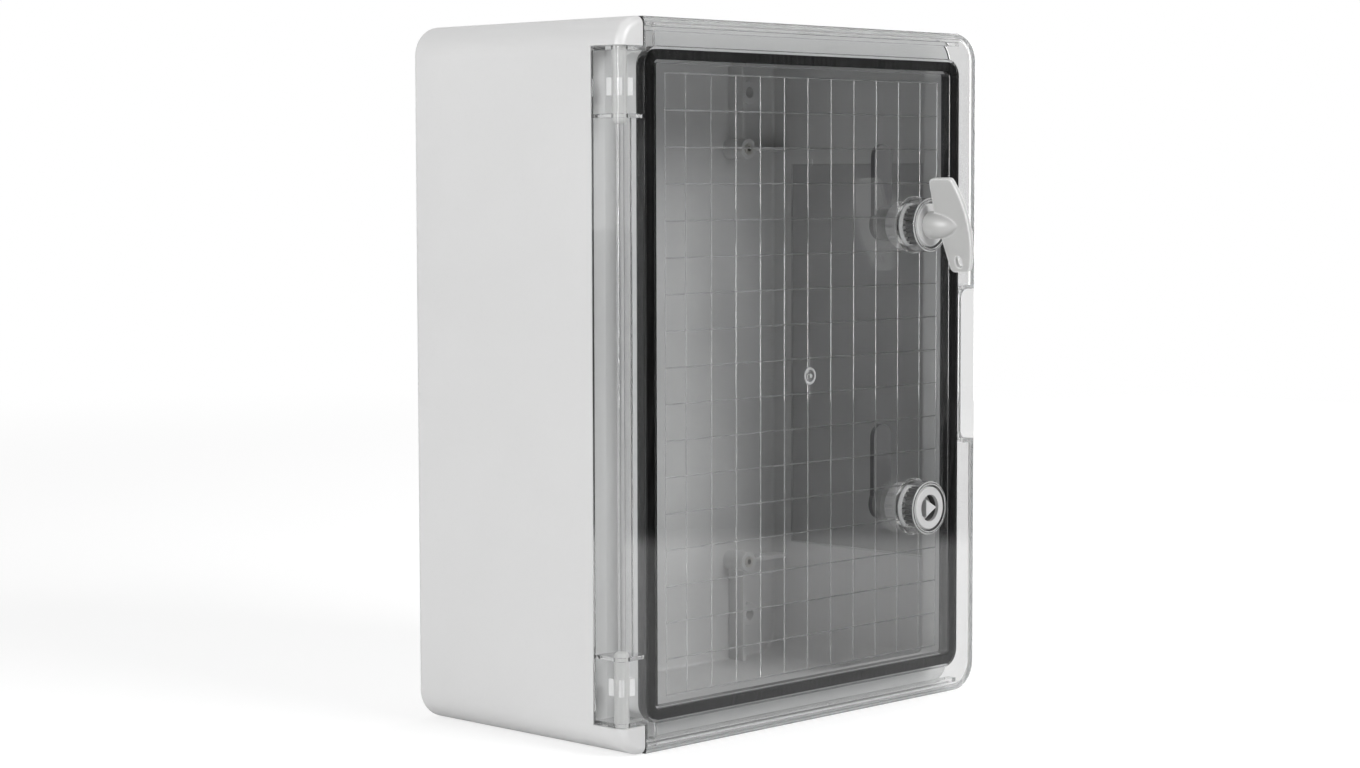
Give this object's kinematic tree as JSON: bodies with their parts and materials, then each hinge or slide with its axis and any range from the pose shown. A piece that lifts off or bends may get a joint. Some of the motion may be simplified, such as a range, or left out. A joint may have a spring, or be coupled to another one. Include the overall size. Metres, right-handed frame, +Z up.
{
  "type": "dc combiner box enclosure",
  "caption": "Wall-mounted grey insulating enclosure with a hinged clear gridded door, foam seal, quarter-turn triangle locks and a loose wing key.",
  "frame": {"origin": "centre of the rear mounting face", "axes": "+X to the right seen from the front, +Y out of the rear face towards the wall (the door faces -Y), +Z up"},
  "size_m": [0.304, 0.212, 0.4],
  "materials": {
    "tub": "light grey moulded, fine satin",
    "insert_brass": "turned, nickel plated",
    "door_clear": "clear polycarbonate, polished",
    "seal_foam": "foamed, matt black",
    "nylon_white": "moulded nylon",
    "lock_white": "moulded, satin",
    "seal_white": "silicone, matt white",
    "ring_rubber": "matt",
    "nut_grey": "moulded, satin",
    "spindle_grey": "moulded, satin",
    "zinc_steel": "dark zinc plated",
    "key_grey": "moulded, satin"
  },
  "bodies": {
    "enclosure": {"body": "tub", "boss_inserts": "insert_brass"},
    "door": {"door": "door_clear", "door_gasket": "seal_foam", "hinge_pin_upper": "nylon_white", "hinge_pin_lower": "nylon_white", "lock_housing_upper": "lock_white", "lock_housing_lower": "lock_white", "lock_seal_upper": "seal_white", "lock_seal_lower": "seal_white", "lock_nut_upper": "nut_grey", "lock_nut_lower": "nut_grey"},
    "upper_latch": {"lock_spindle_upper": "spindle_grey", "spindle_ring_upper": "ring_rubber", "lock_cam_upper": "zinc_steel", "cam_washer_upper": "zinc_steel", "cam_screw_upper": "zinc_steel"},
    "lower_latch": {"lock_spindle_lower": "spindle_grey", "spindle_ring_lower": "ring_rubber", "lock_cam_lower": "zinc_steel", "cam_washer_lower": "zinc_steel", "cam_screw_lower": "zinc_steel"},
    "key": {"key": "key_grey"}
  },
  "joints": [
    {"name": "door_hinge", "type": "hinge", "parent": "enclosure", "child": "door", "pos_m": [-0.146, -0.164, 0], "axis": [0, 0, -1], "range_deg": [0, 180]},
    {"name": "upper_latch_turn", "type": "hinge", "parent": "door", "child": "upper_latch", "pos_m": [0.093, -0.17, 0.08545], "axis": [0, 1, 0], "range_deg": [0, 90]},
    {"name": "lower_latch_turn", "type": "hinge", "parent": "door", "child": "lower_latch", "pos_m": [0.093, -0.17, -0.08305], "axis": [0, 1, 0], "range_deg": [0, 90]},
    {"name": "key_pull", "type": "slide", "parent": "upper_latch", "child": "key", "axis": [0, -1, 0], "range_m": [0, 0.04]}
  ]
}
